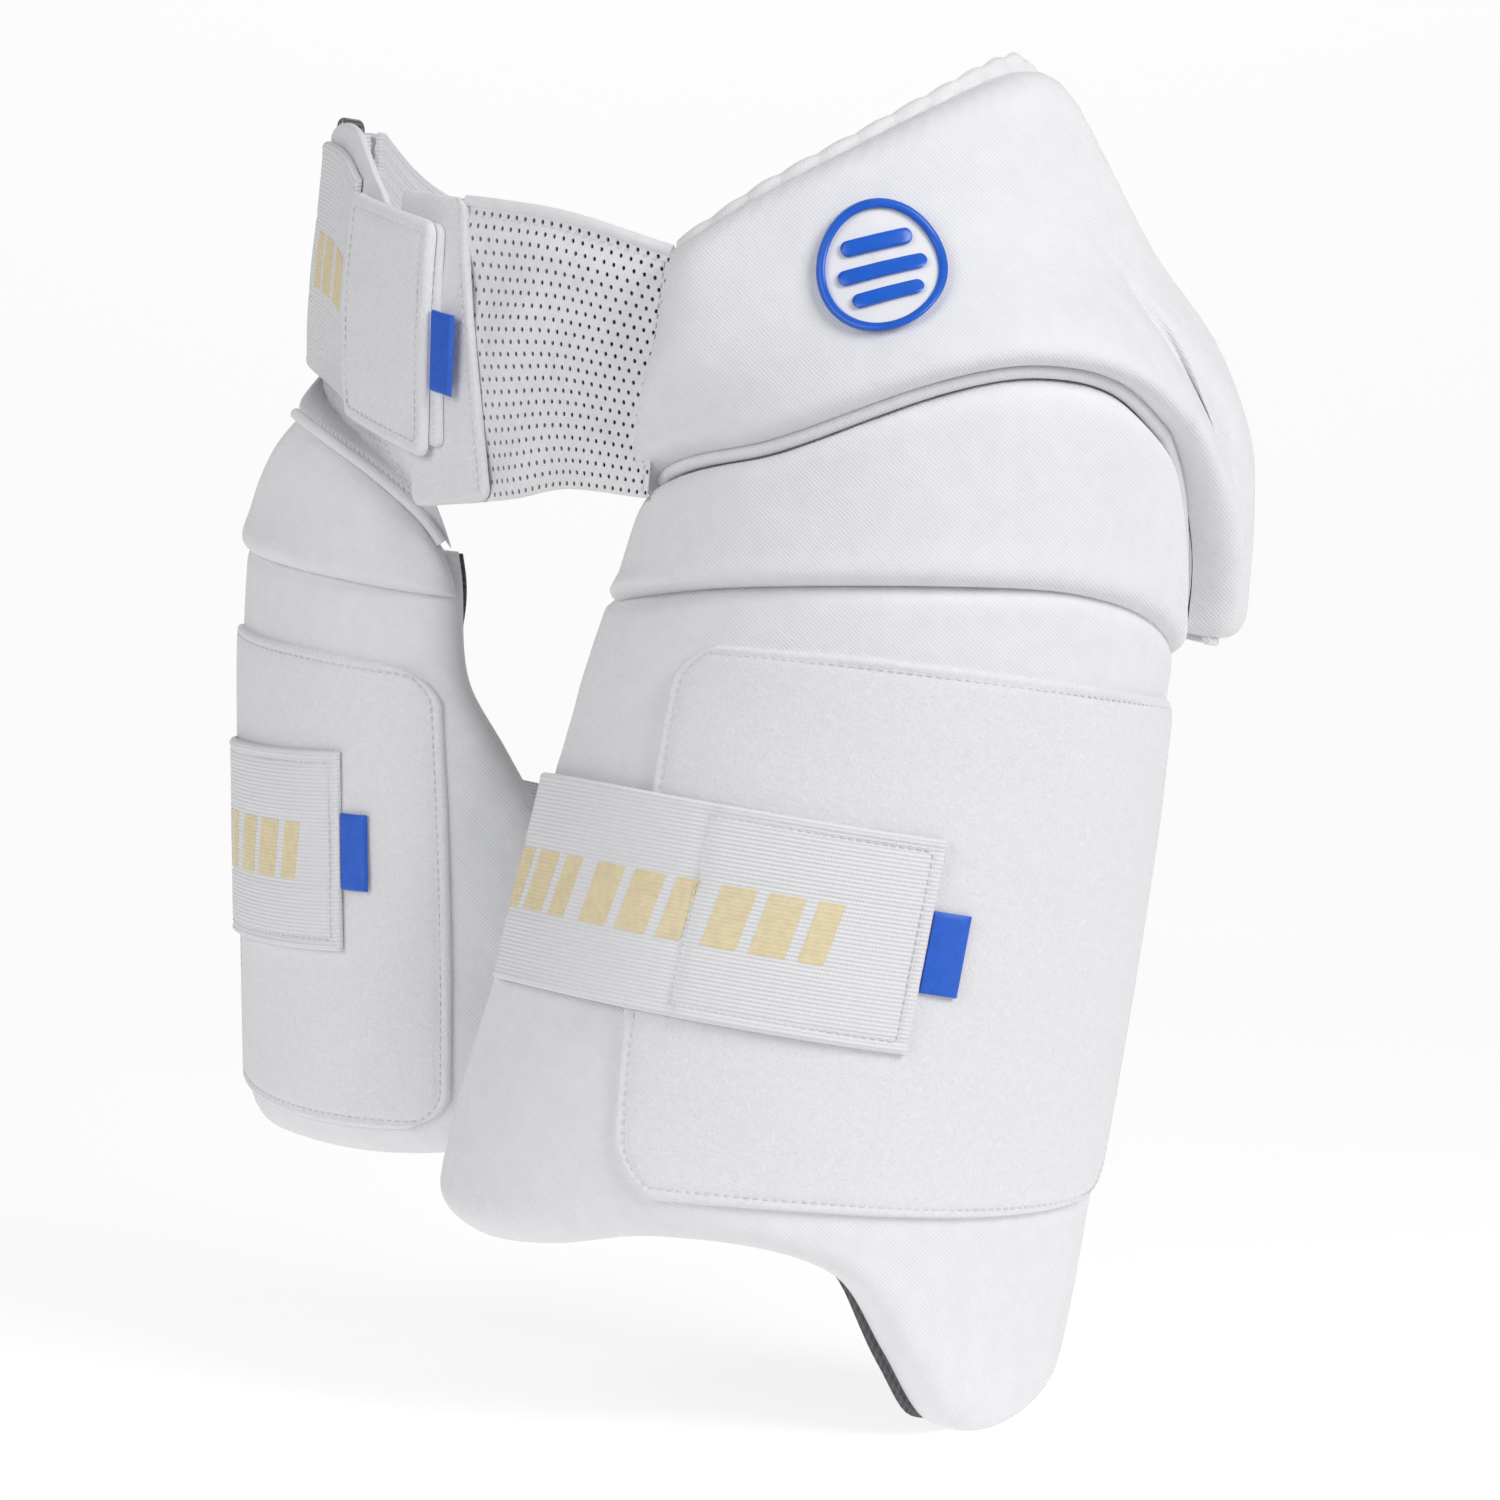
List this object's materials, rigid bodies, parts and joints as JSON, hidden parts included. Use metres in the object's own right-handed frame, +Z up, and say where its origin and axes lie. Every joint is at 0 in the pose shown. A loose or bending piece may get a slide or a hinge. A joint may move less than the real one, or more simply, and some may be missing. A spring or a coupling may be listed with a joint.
{
  "type": "cricket thigh guard",
  "caption": "Belt worn at the waist that carries a padded hip guard, a long outer thigh pad and a shorter inner thigh pad, each strapped round its leg.",
  "frame": {"origin": "middle of the waist loop, half way between its front and back and between its sides", "axes": "+Z up along the wearer, the wearer faces -Y, the wearer's left hip and outer thigh are at +X"},
  "size_m": [0.4103, 0.2567, 0.491],
  "materials": {
    "cover": "fine white twill over foam",
    "lining_white": "quilted white knit",
    "lining_grey": "dark grey spacer knit",
    "brushed": "brushed loop cloth",
    "mesh": "perforated stretch knit",
    "elastic": "woven ribbed elastic",
    "badge_white": "satin moulded",
    "badge_blue": "raised satin",
    "label_blue": "satin woven",
    "ring_metal": "satin"
  },
  "bodies": {
    "root": {"hip_lining": "lining_white", "hip_guard": "cover", "hip_edge_piping": "cover", "hip_badge": "badge_white", "badge_rim": "badge_blue", "badge_bar_1": "badge_blue", "badge_bar_2": "badge_blue", "badge_bar_3": "badge_blue", "front_mesh_panel": "mesh", "mesh_top_hem": "mesh", "landing_strip": "brushed", "side_mesh_panel": "mesh", "belt_underlay": "brushed", "waist_strap": "elastic", "waist_tab_backing": "brushed", "waist_tab": "brushed", "waist_label": "label_blue", "back_belt": "elastic", "belt_ring": "ring_metal", "strap_fold": "elastic", "back_belt_fold": "elastic", "outer_lining": "lining_grey", "outer_pad": "cover", "outer_yoke": "cover", "thigh_piping": "cover", "outer_loop_patch": "brushed", "outer_strap": "elastic", "outer_label": "label_blue", "inner_lining": "lining_grey", "inner_pad": "cover", "inner_yoke": "cover", "inner_piping": "cover", "inner_loop_patch": "brushed", "inner_strap": "elastic", "inner_label": "label_blue"}
  },
  "joints": []
}
